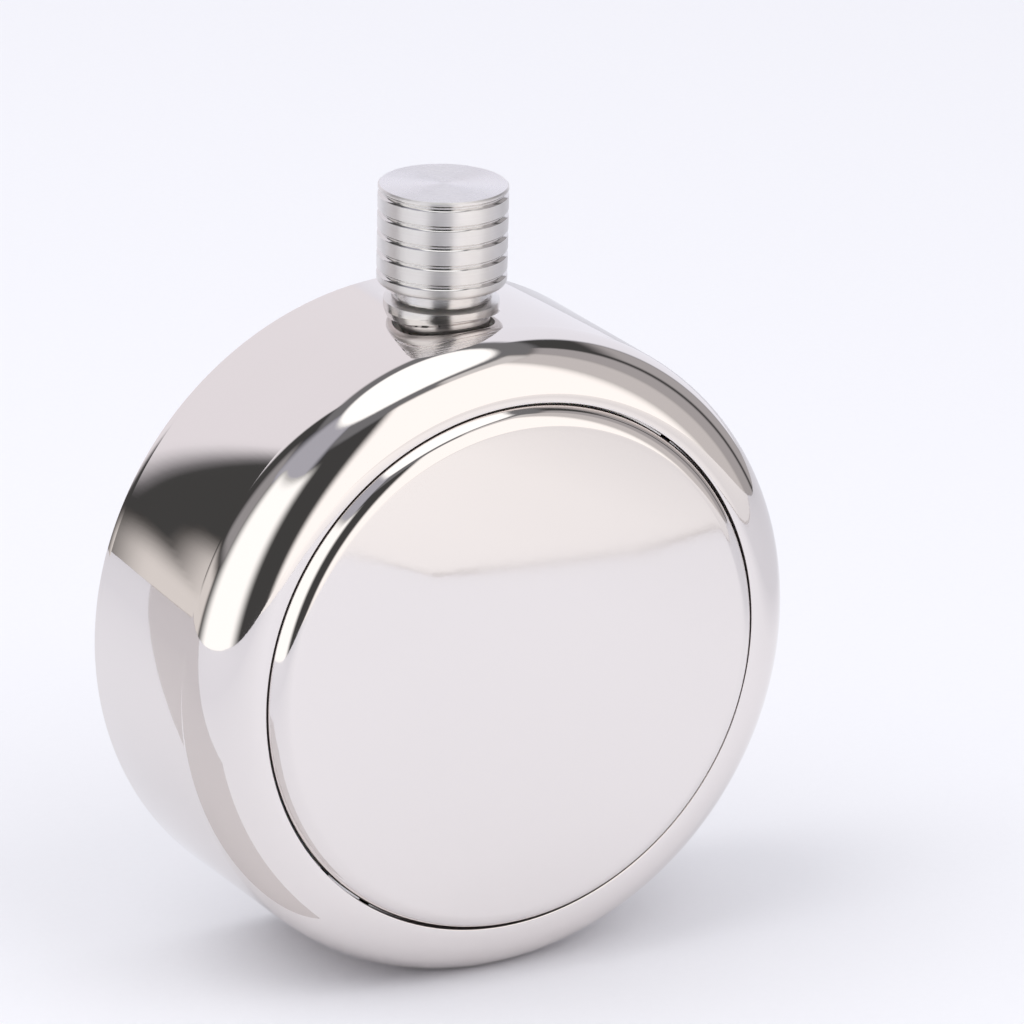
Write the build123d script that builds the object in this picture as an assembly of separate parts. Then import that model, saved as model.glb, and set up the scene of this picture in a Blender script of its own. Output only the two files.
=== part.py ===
"""Round hip flask with a screw cap and a telescoping cup stored in its face.

Frame: millimetres, +Z up through the neck, -Y out of the face that carries the cup.
The origin is the middle of the flat that the flask stands on, straight under the neck.
Pieces that are turned about the face's axis are drawn with +Z pointing out of the
face and are laid over by face_forward(); pieces of the neck are drawn from the top
of the band and are lifted by on_neck().
"""

from math import acos, asin, cos, degrees, radians, sin, sqrt, tan
import os

from build123d import *

# ---- Body: pressed and welded sheet ----
band_radius = 47.5        # outside of the round side band
band_depth = 27.0         # from the front weld to the back plate's outside
body_wall = 0.8           # sheet thickness of band, front shell and back plate
bulge_radial = 8.2        # front shell: how far the round bulge comes in from the band
bulge_height = 9.1        # front shell: how far the bulge stands forward of the band
lip_land = 0.35           # flat land between the bulge's crest and the mouth's edge
back_rim = 1.6            # depth of the back plate's rim, which butts on the band
back_edge_radius = 0.5    # rounding of the back plate's outer edge
base_flat_width = 13.0    # flat across the bottom of the band, which the flask stands on

# ---- Mouth ring and cup well in the face ----
seam_gap = 0.3            # radial gap between the front shell's lip and the cup's cover
mouth_ring_wall = 0.85    # turned ring with the cup's thread, outside to bore
mouth_ring_length = 4.5
well_wall = 0.7
pocket_radius = 30.5      # inside of the well's deep pocket
pocket_corner = 1.5       # inside corner radius at the pocket's floor
cup_floor_room = 1.5      # free depth between the folded cup and the pocket's floor

# ---- Cup thread: a quick four-start thread ----
cup_thread_starts = 4
cup_thread_lead = 8.0
cup_thread_height = 0.65  # ridge height, on the cover's skirt and in the mouth ring
cup_thread_gap = 0.3      # radial gap, crest to root
cup_thread_base = 0.85    # ridge width at its root
cup_thread_crest = 0.40   # ridge width at its crest
mouth_thread_length = 3.3
skirt_thread_length = 2.7
skirt_thread_rise = 0.55  # start of the ridges above the skirt's edge

# ---- Cup: cover, floor and telescoping rings ----
cover_wall = 0.9
cover_edge_land = 0.6     # short cylindrical land that stands in the seam
cover_flank_angle = 62.0  # slope of the cover's edge where it leaves the seam, in degrees
cover_flank_height = 0.73 # straight part of that slope
cover_edge_radius = 2.7   # rounding from the slope over to the dome
cover_dome_radius = 540.0 # radius of the gentle dome
cover_sink = 0.7          # rim's back face behind the front shell's lip
skirt_wall = 0.8
skirt_length = 4.7
cover_gasket_height = 0.7
cover_gasket_slack = 0.1  # radial gap between the gasket and the skirt it sits round
floor_wall = 0.8
floor_inset = 2.0         # floor's front face behind the rim's back face
ring_count = 4
ring_height = 13.0
ring_wall = 0.5
ring_taper = 1.6          # growth of a ring's radius from its foot to its open end
ring_step = 2.0           # from one ring's radius to the next one's
rim_bead_radius = 0.6     # rolled bead round the drinking rim
cup_side_gap = 1.0        # between the rim's bead and the pocket's wall

# ---- Neck ----
neck_bore_radius = 5.0
neck_wall = 1.1
neck_height = 14.0        # rim above the top of the band
neck_root_depth = 1.6     # how far the spout reaches below the top of the band
neck_rim_radius = 0.3
collar_radius = 7.2
collar_height = 3.6
collar_flare_radius = 8.2
collar_flare_edge = 0.6   # upright edge of the flare above the top of the band
collar_flare_height = 1.1
collar_groove_depth = 0.35
collar_groove_width = 0.5
collar_chamfer = 0.3
collar_skirt = 1.2        # depth that the collar's saddle is cut from

# ---- Cap thread: single start, right hand ----
cap_thread_pitch = 2.0
cap_thread_height = 0.7
cap_thread_gap = 0.3
cap_thread_base = 0.95
cap_thread_crest = 0.45
neck_thread_bottom = 6.2  # above the top of the band
neck_thread_length = 6.4
liner_thread_length = 6.0

# ---- Cap ----
cap_radius = 9.2
cap_height = 14.4
cap_stand_off = 2.9       # cap's lower edge above the top of the band
cap_ceiling = 1.3
cap_groove_depth = 0.45
cap_groove_width = 0.8
cap_groove_pitch = 2.88
cap_groove_count = 5
cap_first_groove = 0.95   # centre of the top groove below the cap's top face
cap_top_chamfer = 0.2
cap_bottom_radius = 0.8
liner_wall = 0.9
liner_top = 0.8
liner_recess = 1.5        # liner's lower edge above the cap's lower edge
cap_gasket_slack = 0.15   # radial gap between the gasket and the liner

thread_bury = 0.3         # how far every ridge is sunk into its wall

# ---- Places worked out from the sizes above ----
axis_height = sqrt(band_radius**2 - (base_flat_width / 2) ** 2)
band_top = axis_height + band_radius
front_edge = band_depth / 2
back_face = -band_depth / 2
crest = front_edge + bulge_height
mouth_radius = band_radius - bulge_radial - lip_land
cover_radius = mouth_radius - seam_gap
cover_rim_back = crest - cover_sink
mouth_ring_front = cover_rim_back - cover_gasket_height
mouth_ring_back = mouth_ring_front - mouth_ring_length
flange_end = mouth_ring_back - well_wall
mouth_bore = mouth_radius - mouth_ring_wall
skirt_radius = mouth_bore - cup_thread_gap - cup_thread_height
skirt_bore = skirt_radius - skirt_wall
skirt_end = cover_rim_back - skirt_length
floor_back = cover_rim_back - floor_inset - floor_wall
ring_end = floor_back - ring_height
pocket_floor = ring_end - cup_floor_room
rim_ring_foot = pocket_radius - cup_side_gap - 2 * rim_bead_radius - ring_taper
neck_radius = neck_bore_radius + neck_wall
liner_bore = neck_radius + cap_thread_height + cap_thread_gap
cap_bore = liner_bore + liner_wall
cap_bottom = cap_stand_off
cap_top = cap_stand_off + cap_height
liner_bottom = cap_bottom + liner_recess
liner_ceiling = cap_top - cap_ceiling - liner_top


def turned(*edges):
    """Solid of revolution about Z from outline edges drawn as (radius, height)."""
    return revolve(Plane.XZ * make_face(edges), Axis.Z, 360)


def path(*points, close=False):
    return Polyline(*points, close=close)


def plain_ring(inner, outer, bottom, top):
    """Flat-ended ring, or a disc where the inner radius is zero."""
    return turned(path((inner, bottom), (outer, bottom), (outer, top), (inner, top), close=True))


def oval_arc(centre, radial, height, start=0, span=90):
    """Arc of an upright ellipse in an outline; angles run from straight outwards."""
    return EllipticalCenterArc(centre, radial, height, start_angle=start, arc_size=span)


def dome_arc(top, radius, height):
    """Arc of a dome, level on the axis at its top and down to a radius and height."""
    return TangentArc((0, top), (radius, height), tangent=(1, 0))


def face_forward(solid):
    """Lays a piece drawn about Z over, so that its +Z points out of the flask's face."""
    return Pos(0, 0, axis_height) * Rot(90, 0, 0) * solid


def on_neck(solid):
    """Lifts a piece drawn from the top of the band up to its place."""
    return Pos(0, 0, band_top) * solid


def thread_ridge(root, height, lead, length, base, top):
    """Helical ridge from z = 0 up; a negative height stands inwards, into a bore."""
    buried = thread_bury * (base - top) / abs(height) / 2
    foot = root - thread_bury if height > 0 else root + thread_bury
    crest_radius = root + height
    outline = path(
        (foot, -base / 2 - buried),
        (crest_radius, -top / 2),
        (crest_radius, top / 2),
        (foot, base / 2 + buried),
        close=True,
    )
    helix = Helix(pitch=lead, height=length, radius=root)
    return sweep(Plane.XZ * make_face(outline), path=helix, is_frenet=True)


def cup_ridges(root, height, length, start, turn):
    """All starts of the cup's thread, from the height of the first ridge's centre line."""
    one = thread_ridge(
        root, height, cup_thread_lead, length, cup_thread_base, cup_thread_crest
    )
    starts = []
    for index in range(cup_thread_starts):
        starts.append(Pos(0, 0, start) * Rot(0, 0, turn + index * 360 / cup_thread_starts) * one)
    return starts


below_base = Pos(0, 0, -band_radius) * Box(
    2 * band_radius, 4 * band_depth, 2 * band_radius
)


# ---- Side band: rolled strip with the standing flat and the hole for the spout ----
def band_outline(radius, flat):
    """Round outline with its bottom pressed flat at the given distance below the axis."""
    return Circle(radius) - Pos(0, -flat - radius) * Rectangle(2 * radius, 2 * radius)


band_section = band_outline(band_radius, axis_height) - band_outline(
    band_radius - body_wall, axis_height - body_wall
)
band_back = back_face + back_rim
band = face_forward(Pos(0, 0, band_back) * extrude(band_section, front_edge - band_back))
side_band = band - on_neck(plain_ring(0, neck_radius, -neck_root_depth, neck_height))

# ---- Front shell: round bulge, narrow lip and the flange that turns in behind it ----
bulge_centre = (band_radius - bulge_radial, front_edge)
bulge_outside = oval_arc(bulge_centre, bulge_radial, bulge_height)
inner_radial = bulge_radial - body_wall
flange_outer = mouth_radius + body_wall
inner_span = degrees(acos((flange_outer - bulge_centre[0]) / inner_radial))
bulge_inside = oval_arc(bulge_centre, inner_radial, bulge_height - body_wall, 0, inner_span)
shell_lip = path(
    bulge_outside @ 1,
    (mouth_radius, crest),
    (mouth_radius, flange_end),
    (flange_outer, flange_end),
    bulge_inside @ 1,
)
shell_weld = path(bulge_outside @ 0, bulge_inside @ 0)
front_shell = face_forward(turned(bulge_outside, shell_lip, bulge_inside, shell_weld)) - below_base

# ---- Back plate: flat plate with a short rim that butts on the band ----
back_blank = plain_ring(0, band_radius, back_face, band_back)
back_blank = fillet(back_blank.edges().group_by(Axis.Z)[0], back_edge_radius)
back_hollow = plain_ring(0, band_radius - body_wall, back_face + body_wall, band_back)
back_plate = face_forward(back_blank - back_hollow) - below_base

# ---- Cup well: shelf behind the mouth ring and the deep pocket for the folded cup ----
well_outer = pocket_radius + well_wall
pocket_back = pocket_floor - well_wall
well_blank = plain_ring(0, well_outer, pocket_back, mouth_ring_back)
well_blank = fillet(well_blank.edges().group_by(Axis.Z)[0], pocket_corner + well_wall)
well_hollow = plain_ring(0, pocket_radius, pocket_floor, mouth_ring_back)
well_hollow = fillet(well_hollow.edges().group_by(Axis.Z)[0], pocket_corner)
well_shelf = plain_ring(well_outer, mouth_radius, flange_end, mouth_ring_back)
cup_well = face_forward(well_blank - well_hollow + well_shelf)

# ---- Mouth ring: carries the cup's thread inside the front shell's flange ----
mouth_thread_start = mouth_ring_back + (mouth_ring_length - mouth_thread_length) / 2
mouth_ring = plain_ring(mouth_bore, mouth_radius, mouth_ring_back, mouth_ring_front)
for ridge in cup_ridges(mouth_bore, -cup_thread_height, mouth_thread_length, mouth_thread_start, 0):
    mouth_ring += ridge
mouth_ring = face_forward(mouth_ring)

# ---- Cup cover: domed face with a rounded edge, and the threaded skirt behind it ----
flank = radians(cover_flank_angle)
edge_base = cover_rim_back + cover_edge_land
flank_top = (cover_radius - cover_flank_height / tan(flank), edge_base + cover_flank_height)
edge_centre_radius = flank_top[0] - cover_edge_radius * sin(flank)
dome_edge_slope = asin(edge_centre_radius / (cover_dome_radius - cover_edge_radius))
dome_edge = (
    edge_centre_radius + cover_edge_radius * sin(dome_edge_slope),
    flank_top[1] + cover_edge_radius * (cos(dome_edge_slope) - cos(flank)),
)
dome_top = dome_edge[1] + cover_dome_radius * (1 - cos(dome_edge_slope))
cover_flank = path((cover_radius, edge_base), flank_top)
cover_edge = TangentArc(flank_top, dome_edge, tangent=(-cos(flank), sin(flank)))
dome_outside = dome_arc(dome_top, *dome_edge)
inner_dome_radius = cover_dome_radius - cover_wall
inside_corner = skirt_bore - cover_wall
inside_shoulder = dome_top - cover_dome_radius + sqrt(inner_dome_radius**2 - inside_corner**2)
dome_inside = dome_arc(dome_top - cover_wall, inside_corner, inside_shoulder)
cover_back = path(
    (inside_corner, inside_shoulder),
    (skirt_bore, inside_shoulder - cover_wall),
    (skirt_bore, skirt_end),
    (skirt_radius, skirt_end),
    (skirt_radius, cover_rim_back),
    (cover_radius, cover_rim_back),
    (cover_radius, edge_base),
)
dome_axis = path((0, dome_top), (0, dome_top - cover_wall))
cup_cover = turned(cover_flank, cover_edge, dome_outside, dome_axis, dome_inside, cover_back)
skirt_thread_start = skirt_end + skirt_thread_rise
half_thread = cup_thread_lead / cup_thread_starts / 2
skirt_turn = 360 * (skirt_thread_start - mouth_thread_start - half_thread) / cup_thread_lead
for ridge in cup_ridges(
    skirt_radius, cup_thread_height, skirt_thread_length, skirt_thread_start, skirt_turn
):
    cup_cover += ridge
cup_cover = face_forward(cup_cover)

# ---- Cover gasket: flat ring between the cover's rim and the mouth ring ----
cover_gasket = face_forward(
    plain_ring(skirt_radius + cover_gasket_slack, cover_radius, mouth_ring_front, cover_rim_back)
)

# ---- Cup floor: disc pressed into the skirt ----
cup_floor = face_forward(plain_ring(0, skirt_bore, floor_back, floor_back + floor_wall))

# ---- Cup rings: nested cones, number 1 fixed to the floor, the last with the rim ----
cup_rings = []
for index in range(ring_count):
    foot = rim_ring_foot - (ring_count - 1 - index) * ring_step
    ring = turned(
        path(
            (foot - ring_wall, floor_back),
            (foot, floor_back),
            (foot + ring_taper, ring_end),
            (foot + ring_taper - ring_wall, ring_end),
            close=True,
        )
    )
    if index == ring_count - 1:
        bead_centre = foot + ring_taper + rim_bead_radius - ring_wall
        bead_middle = Plane.XZ * Pos(bead_centre, ring_end + rim_bead_radius)
        ring += revolve(bead_middle * Circle(rim_bead_radius), Axis.Z, 360)
    cup_rings.append(face_forward(ring))

# ---- Spout: threaded neck tube welded into the band ----
neck_spout = plain_ring(neck_bore_radius, neck_radius, -neck_root_depth, neck_height)
neck_spout = fillet(neck_spout.edges().group_by(Axis.Z)[-1], neck_rim_radius)
neck_spout += Pos(0, 0, neck_thread_bottom) * thread_ridge(
    neck_radius, cap_thread_height, cap_thread_pitch, neck_thread_length,
    cap_thread_base, cap_thread_crest,
)
neck_spout = on_neck(neck_spout)

# ---- Collar: turned ring round the spout, saddled on the band ----
groove_top = collar_flare_height + collar_groove_width
neck_collar = turned(
    path(
        (neck_radius, -collar_skirt),
        (collar_flare_radius, -collar_skirt),
        (collar_flare_radius, collar_flare_edge),
        (collar_radius, collar_flare_height),
        (collar_radius - collar_groove_depth, collar_flare_height),
        (collar_radius - collar_groove_depth, groove_top),
        (collar_radius, groove_top),
        (collar_radius, collar_height - collar_chamfer),
        (collar_radius - collar_chamfer, collar_height),
        (neck_radius, collar_height),
        close=True,
    )
)
band_solid = face_forward(Pos(0, 0, back_face) * extrude(Circle(band_radius), band_depth))
neck_collar = on_neck(neck_collar) - band_solid

# ---- Cap shell: turned cup with grooves round its side ----
cap_shell = plain_ring(0, cap_radius, cap_bottom, cap_top)
cap_shell = chamfer(cap_shell.edges().group_by(Axis.Z)[-1], cap_top_chamfer)
cap_shell = fillet(cap_shell.edges().group_by(Axis.Z)[0], cap_bottom_radius)
cap_shell -= plain_ring(0, cap_bore, cap_bottom, cap_top - cap_ceiling)
for index in range(cap_groove_count):
    groove_height = cap_top - cap_first_groove - index * cap_groove_pitch
    cap_shell -= turned(
        path(
            (cap_radius - cap_groove_depth, groove_height),
            (cap_radius, groove_height - cap_groove_width / 2),
            (cap_radius + cap_groove_depth, groove_height),
            (cap_radius, groove_height + cap_groove_width / 2),
            close=True,
        )
    )
cap_shell = on_neck(cap_shell)

# ---- Cap liner: moulded cup with the cap's thread ----
cap_liner = plain_ring(0, cap_bore, liner_bottom, cap_top - cap_ceiling)
cap_liner -= plain_ring(0, liner_bore, liner_bottom, liner_ceiling)
cap_liner += Pos(0, 0, neck_thread_bottom - cap_thread_pitch / 2) * thread_ridge(
    liner_bore, -cap_thread_height, cap_thread_pitch, liner_thread_length,
    cap_thread_base, cap_thread_crest,
)
cap_liner = on_neck(cap_liner)

# ---- Cap gasket: disc that closes the spout ----
cap_gasket = on_neck(
    plain_ring(0, liner_bore - cap_gasket_slack, neck_height, liner_ceiling)
)

parts = {
    "side_band": side_band,
    "front_shell": front_shell,
    "back_plate": back_plate,
    "cup_well": cup_well,
    "mouth_ring": mouth_ring,
    "neck_spout": neck_spout,
    "neck_collar": neck_collar,
    "cap_shell": cap_shell,
    "cap_liner": cap_liner,
    "cap_gasket": cap_gasket,
    "cup_cover": cup_cover,
    "cover_gasket": cover_gasket,
    "cup_floor": cup_floor,
}
for index, ring in enumerate(cup_rings):
    parts[f"cup_ring_{index + 1}"] = ring

os.makedirs("parts", exist_ok=True)
for node, solid in parts.items():
    export_step(solid, f"parts/{node}.step")
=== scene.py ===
"""Looks of the round hip flask: polished steel body, screw cap and stored folding cup.

Everything is drawn in the part's own frame, in metres once placed: +Z up through the
neck, -Y out of the face with the cup. Outlines are drawn in millimetres as
(radius, height) and turned about Z, then laid over or lifted to their place.
"""

from math import acos, asin, atan2, cos, degrees, hypot, pi, radians, sin, sqrt, tan

import bmesh
import bpy
from mathutils import Matrix, Vector


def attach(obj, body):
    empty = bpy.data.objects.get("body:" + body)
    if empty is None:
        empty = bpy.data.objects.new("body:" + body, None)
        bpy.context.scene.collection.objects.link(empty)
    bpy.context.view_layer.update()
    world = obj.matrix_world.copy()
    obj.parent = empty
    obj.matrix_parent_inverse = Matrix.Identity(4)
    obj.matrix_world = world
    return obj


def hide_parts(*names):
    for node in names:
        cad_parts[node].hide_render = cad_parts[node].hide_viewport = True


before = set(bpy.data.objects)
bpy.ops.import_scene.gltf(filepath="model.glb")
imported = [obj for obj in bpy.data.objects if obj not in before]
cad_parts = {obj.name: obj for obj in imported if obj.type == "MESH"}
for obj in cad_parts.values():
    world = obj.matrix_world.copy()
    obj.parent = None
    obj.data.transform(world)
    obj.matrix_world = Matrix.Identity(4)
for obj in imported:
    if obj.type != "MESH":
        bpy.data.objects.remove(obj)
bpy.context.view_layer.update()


# ---------------------------------------------------------------------------
# Side band: a strip of 0.8 mm stainless steel rolled round, welded and polished
# to a mirror. The bottom is pressed flat to stand on, and a hole takes the spout.
# ---------------------------------------------------------------------------
millimetre = 0.001
band_radius = 47.5
body_wall = 0.8
base_flat = 13.0
axis_height = sqrt(band_radius**2 - (base_flat / 2) ** 2)
band_top = axis_height + band_radius
front_edge = 13.5
back_face = -13.5
back_rim = 1.6
band_back = back_face + back_rim
spout_hole_radius = 6.1
hole_reach = 3.0
loop_place = 8.0
body_steps = 512
to_face = Matrix.Translation((0, 0, axis_height)) @ Matrix.Rotation(pi / 2, 4, "X")
to_neck = Matrix.Translation((0, 0, band_top))


def bend(centre, radial, height, start, end, steps, gather=1.0):
    """Points of an elliptical corner in an outline, angles in degrees from outwards."""
    points = []
    for step in range(steps + 1):
        angle = radians(start + (end - start) * (step / steps) ** gather)
        points.append((centre[0] + radial * cos(angle), centre[1] + height * sin(angle)))
    return points


def turn_outline(outline, steps, closed=True):
    """Turns an outline about Z into a shell with its faces outwards."""
    bm = bmesh.new()
    ring = [bm.verts.new((radius, 0, height)) for radius, height in outline]
    for first, second in zip(ring, ring[1:]):
        bm.edges.new((first, second))
    if closed:
        bm.edges.new((ring[-1], ring[0]))
    bmesh.ops.spin(
        bm, geom=bm.verts[:] + bm.edges[:], cent=(0, 0, 0), axis=(0, 0, 1),
        angle=2 * pi, steps=steps, use_merge=True,
    )
    bmesh.ops.remove_doubles(bm, verts=bm.verts[:], dist=1e-4)
    bmesh.ops.recalc_face_normals(bm, faces=bm.faces[:])
    return bm


def stand_flat(bm, inner_radius):
    """Cuts a laid-over body shell off at the ground and closes it with the flat."""
    cut = bmesh.ops.bisect_plane(
        bm, geom=bm.verts[:] + bm.edges[:] + bm.faces[:], plane_co=(0, 0, 0),
        plane_no=(0, 0, -1), clear_outer=True, dist=1e-5,
    )
    rim = [item for item in cut["geom_cut"] if isinstance(item, bmesh.types.BMEdge)]
    bmesh.ops.holes_fill(bm, edges=rim, sides=0)
    for vert in bm.verts:
        reach = hypot(vert.co.x, vert.co.z - axis_height)
        if reach < inner_radius + 0.1 and 0 < vert.co.z < body_wall:
            vert.co.z = body_wall


def finish_piece(bm, name, material, crease=30):
    """Makes the object: true size, smooth faces, and edges sharper than crease kept."""
    bmesh.ops.scale(bm, verts=bm.verts[:], vec=(millimetre,) * 3)
    for face in bm.faces:
        face.smooth = True
    for edge in bm.edges:
        if len(edge.link_faces) == 2:
            edge.smooth = edge.calc_face_angle(0) < radians(crease)
        else:
            edge.smooth = False
    mesh = bpy.data.meshes.new(name)
    bm.to_mesh(mesh)
    bm.free()
    mesh.materials.append(material)
    piece = bpy.data.objects.new(name, mesh)
    bpy.context.scene.collection.objects.link(piece)
    return piece


def cut_away(piece, cutter):
    """Cuts the cutter's shape out of a piece and throws the cutter away."""
    hole = piece.modifiers.new("hole", "BOOLEAN")
    hole.operation = "DIFFERENCE"
    hole.solver = "EXACT"
    hole.object = cutter
    bpy.context.view_layer.update()
    graph = bpy.context.evaluated_depsgraph_get()
    mesh = bpy.data.meshes.new_from_object(piece.evaluated_get(graph))
    piece.modifiers.clear()
    piece.data = mesh
    bpy.data.objects.remove(cutter)


class Finish:
    """A material's nodes, joined up one after another."""

    def __init__(self, name):
        self.material = bpy.data.materials.new(name)
        self.material.use_nodes = True
        self.nodes = self.material.node_tree.nodes
        self.links = self.material.node_tree.links
        self.shader = self.nodes["Principled BSDF"]
        self.place = self.node("ShaderNodeTexCoord").outputs["Object"]

    def node(self, kind, inputs=(), **settings):
        made = self.nodes.new(kind)
        for setting, value in settings.items():
            setattr(made, setting, value)
        for socket, value in dict(inputs).items():
            if isinstance(value, bpy.types.NodeSocket):
                self.links.new(value, made.inputs[socket])
            else:
                made.inputs[socket].default_value = value
        return made

    def stretch(self, scale):
        return self.node("ShaderNodeMapping", {"Vector": self.place, "Scale": scale}).outputs[0]

    def noise(self, scale, detail, roughness, vector=None):
        return self.node(
            "ShaderNodeTexNoise",
            {
                "Vector": vector or self.place, "Scale": scale, "Detail": detail,
                "Roughness": roughness,
            },
        ).outputs[0]

    def spread(self, value, low, high, to_low, to_high):
        return self.node(
            "ShaderNodeMapRange",
            {
                "Value": value, "From Min": low, "From Max": high,
                "To Min": to_low, "To Max": to_high,
            },
        ).outputs[0]

    def sum(self, first, second, operation="ADD"):
        return self.node(
            "ShaderNodeMath", {0: first, 1: second}, operation=operation
        ).outputs[0]

    def tint(self, value, first, second):
        return self.node(
            "ShaderNodeMix", {0: value, 6: (*first, 1), 7: (*second, 1)}, data_type="RGBA"
        ).outputs[2]

    def relief(self, height, distance, strength=1.0):
        bump = self.node(
            "ShaderNodeBump", {"Height": height, "Distance": distance, "Strength": strength}
        )
        self.links.new(bump.outputs[0], self.shader.inputs["Normal"])

    def set(self, **sockets):
        for socket, value in sockets.items():
            target = self.shader.inputs[socket.replace("_", " ")]
            if isinstance(value, bpy.types.NodeSocket):
                self.links.new(value, target)
            else:
                target.default_value = value


def polished_steel(name, ripple=0.0, haze=0.035, tone=(0.83, 0.79, 0.77), crown=0.0):
    """Mirror-polished stainless steel: faint wipe haze, buffing lines and slow ripple.

    The crown is the slight hollow-backed curve that rolling leaves across a strip.
    """
    steel = Finish(name)
    wiped = steel.noise(55, 4, 0.6)
    smears = steel.noise(16, 2, 0.5, steel.stretch((1, 2.4, 1)))
    cloudy = steel.sum(wiped, smears, "MULTIPLY")
    steel.set(
        Base_Color=steel.tint(
            smears, [c * 0.985 for c in tone], [min(c * 1.015, 1) for c in tone]
        ),
        Metallic=1.0,
        Roughness=steel.spread(cloudy, 0.12, 0.42, haze * 0.7, haze * 1.5),
    )
    slow = steel.noise(38, 1, 0.4)
    buffed = steel.noise(900, 2, 0.6, steel.stretch((1, 0.12, 1)))
    height = steel.sum(
        steel.sum(slow, ripple, "MULTIPLY"), steel.sum(buffed, 0.004, "MULTIPLY")
    )
    steel.relief(height, 0.0006, 0.6)
    if crown:
        depth = steel.node("ShaderNodeSeparateXYZ", {0: steel.place}).outputs["Y"]
        sag = steel.sum(steel.sum(depth, depth, "MULTIPLY"), -crown / 2, "MULTIPLY")
        fine = steel.shader.inputs["Normal"].links[0].from_socket
        steel.relief(sag, 1.0)
        steel.links.new(fine, steel.shader.inputs["Normal"].links[0].from_node.inputs["Normal"])
    return steel.material


mirror_steel = polished_steel("mirror_steel_rolled", ripple=0.10, crown=3.4)

band_outline = [
    (band_radius - body_wall, band_back), (band_radius, band_back), (band_radius, -loop_place),
    (band_radius, 0.0), (band_radius, loop_place), (band_radius, front_edge),
    (band_radius - body_wall, front_edge),
]
band_shell = turn_outline(band_outline, body_steps)
bmesh.ops.transform(band_shell, matrix=to_face, verts=band_shell.verts[:])
stand_flat(band_shell, band_radius - body_wall)
band = finish_piece(band_shell, "band_strip", mirror_steel, crease=6)
hole_outline = [
    (0, -hole_reach), (spout_hole_radius, -hole_reach), (spout_hole_radius, hole_reach),
    (0, hole_reach),
]
hole_shell = turn_outline(hole_outline, 96, closed=False)
bmesh.ops.transform(hole_shell, matrix=to_neck, verts=hole_shell.verts[:])
cut_away(band, finish_piece(hole_shell, "spout_hole", mirror_steel))
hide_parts("side_band")
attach(band, "flask_body")


# ---------------------------------------------------------------------------
# Front shell: pressed from the same sheet. A round bulge rises from the band to
# a narrow lip, and a flange turns in behind the lip for the mouth ring.
# ---------------------------------------------------------------------------
bulge_radial = 8.2
bulge_height = 9.1
crest = front_edge + bulge_height
mouth_radius = 38.95
lip_rounding = 0.12
flange_end = 16.0
bulge_centre = (band_radius - bulge_radial, front_edge)
inner_radial = bulge_radial - body_wall
flange_outer = mouth_radius + body_wall
inner_span = degrees(acos((flange_outer - bulge_centre[0]) / inner_radial))

front_outline = (
    bend(bulge_centre, bulge_radial, bulge_height, 0, 90, 56, gather=1.6)
    + bend(
        (mouth_radius + lip_rounding, crest - lip_rounding), lip_rounding, lip_rounding,
        90, 180, 4,
    )
    + [(mouth_radius, flange_end), (flange_outer, flange_end)]
    + bend(bulge_centre, inner_radial, bulge_height - body_wall, inner_span, 0, 20)
)
front_shell = turn_outline(front_outline, body_steps)
bmesh.ops.transform(front_shell, matrix=to_face, verts=front_shell.verts[:])
stand_flat(front_shell, 0)
pressed_steel = polished_steel("mirror_steel_pressed", ripple=0.05)
front = finish_piece(front_shell, "front_pressing", pressed_steel, crease=25)


def seam_shade_steel(name):
    """Steel wall inside the seam, painted dark and dull: painted shade for the shadow in the narrow
    gap, mottled by noise.
    """
    steel = Finish(name)
    shade_mottle = steel.noise(700, 4, 0.7)
    steel.set(
        Base_Color=steel.tint(shade_mottle, (0.07, 0.055, 0.05), (0.22, 0.19, 0.18)),
        Metallic=0.6,
        Roughness=steel.spread(shade_mottle, 0.3, 0.7, 0.45, 0.7),
    )
    steel.relief(shade_mottle, 0.00003, 0.5)
    return steel.material


def paint_seam_shade(piece, radius, nearest, furthest):
    """Gives the seam's painted shade to the upright wall at a radius, between two heights."""
    piece.data.materials.append(seam_shade_steel(piece.name + "_seam"))
    for face in piece.data.polygons:
        reach = hypot(face.center.x, face.center.z - axis_height * millimetre) / millimetre
        if abs(reach - radius) < 0.05 and nearest < -face.center.y / millimetre < furthest:
            face.material_index = 1


# Painted shade: the front shell's wall inside the seam gap is painted dark.
paint_seam_shade(front, mouth_radius, flange_end, crest - lip_rounding)
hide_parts("front_shell")
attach(front, "flask_body")


# ---------------------------------------------------------------------------
# Back plate: flat sheet with a short turned-up rim, butt welded to the band and
# ground flush. Its face is polished like the rest.
# ---------------------------------------------------------------------------
back_edge_radius = 0.5
back_inside = back_face + body_wall
back_outline = (
    [(0, back_face), (20, back_face), (40, back_face)]
    + bend(
        (band_radius - back_edge_radius, back_face + back_edge_radius),
        back_edge_radius, back_edge_radius, -90, 0, 8,
    )
    + [
        (band_radius, band_back), (band_radius - body_wall, band_back),
        (band_radius - body_wall, back_inside), (0, back_inside),
    ]
)
back_shell = turn_outline(back_outline, body_steps, closed=False)
bmesh.ops.transform(back_shell, matrix=to_face, verts=back_shell.verts[:])
stand_flat(back_shell, 0)
plate_steel = polished_steel("mirror_steel_plate", ripple=0.12)
back = finish_piece(back_shell, "back_sheet", plate_steel, crease=20)
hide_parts("back_plate")
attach(back, "flask_body")


# ---------------------------------------------------------------------------
# Cup well: a deep drawn pan that closes the tank behind the stored cup. It has a
# shelf behind the mouth ring and a rounded pocket, left satin from the press.
# ---------------------------------------------------------------------------
well_wall = 0.7
pocket_radius = 30.5
pocket_corner = 1.5
pocket_floor = 4.6
well_shelf = 16.7
shelf_fillet = 0.5


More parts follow.
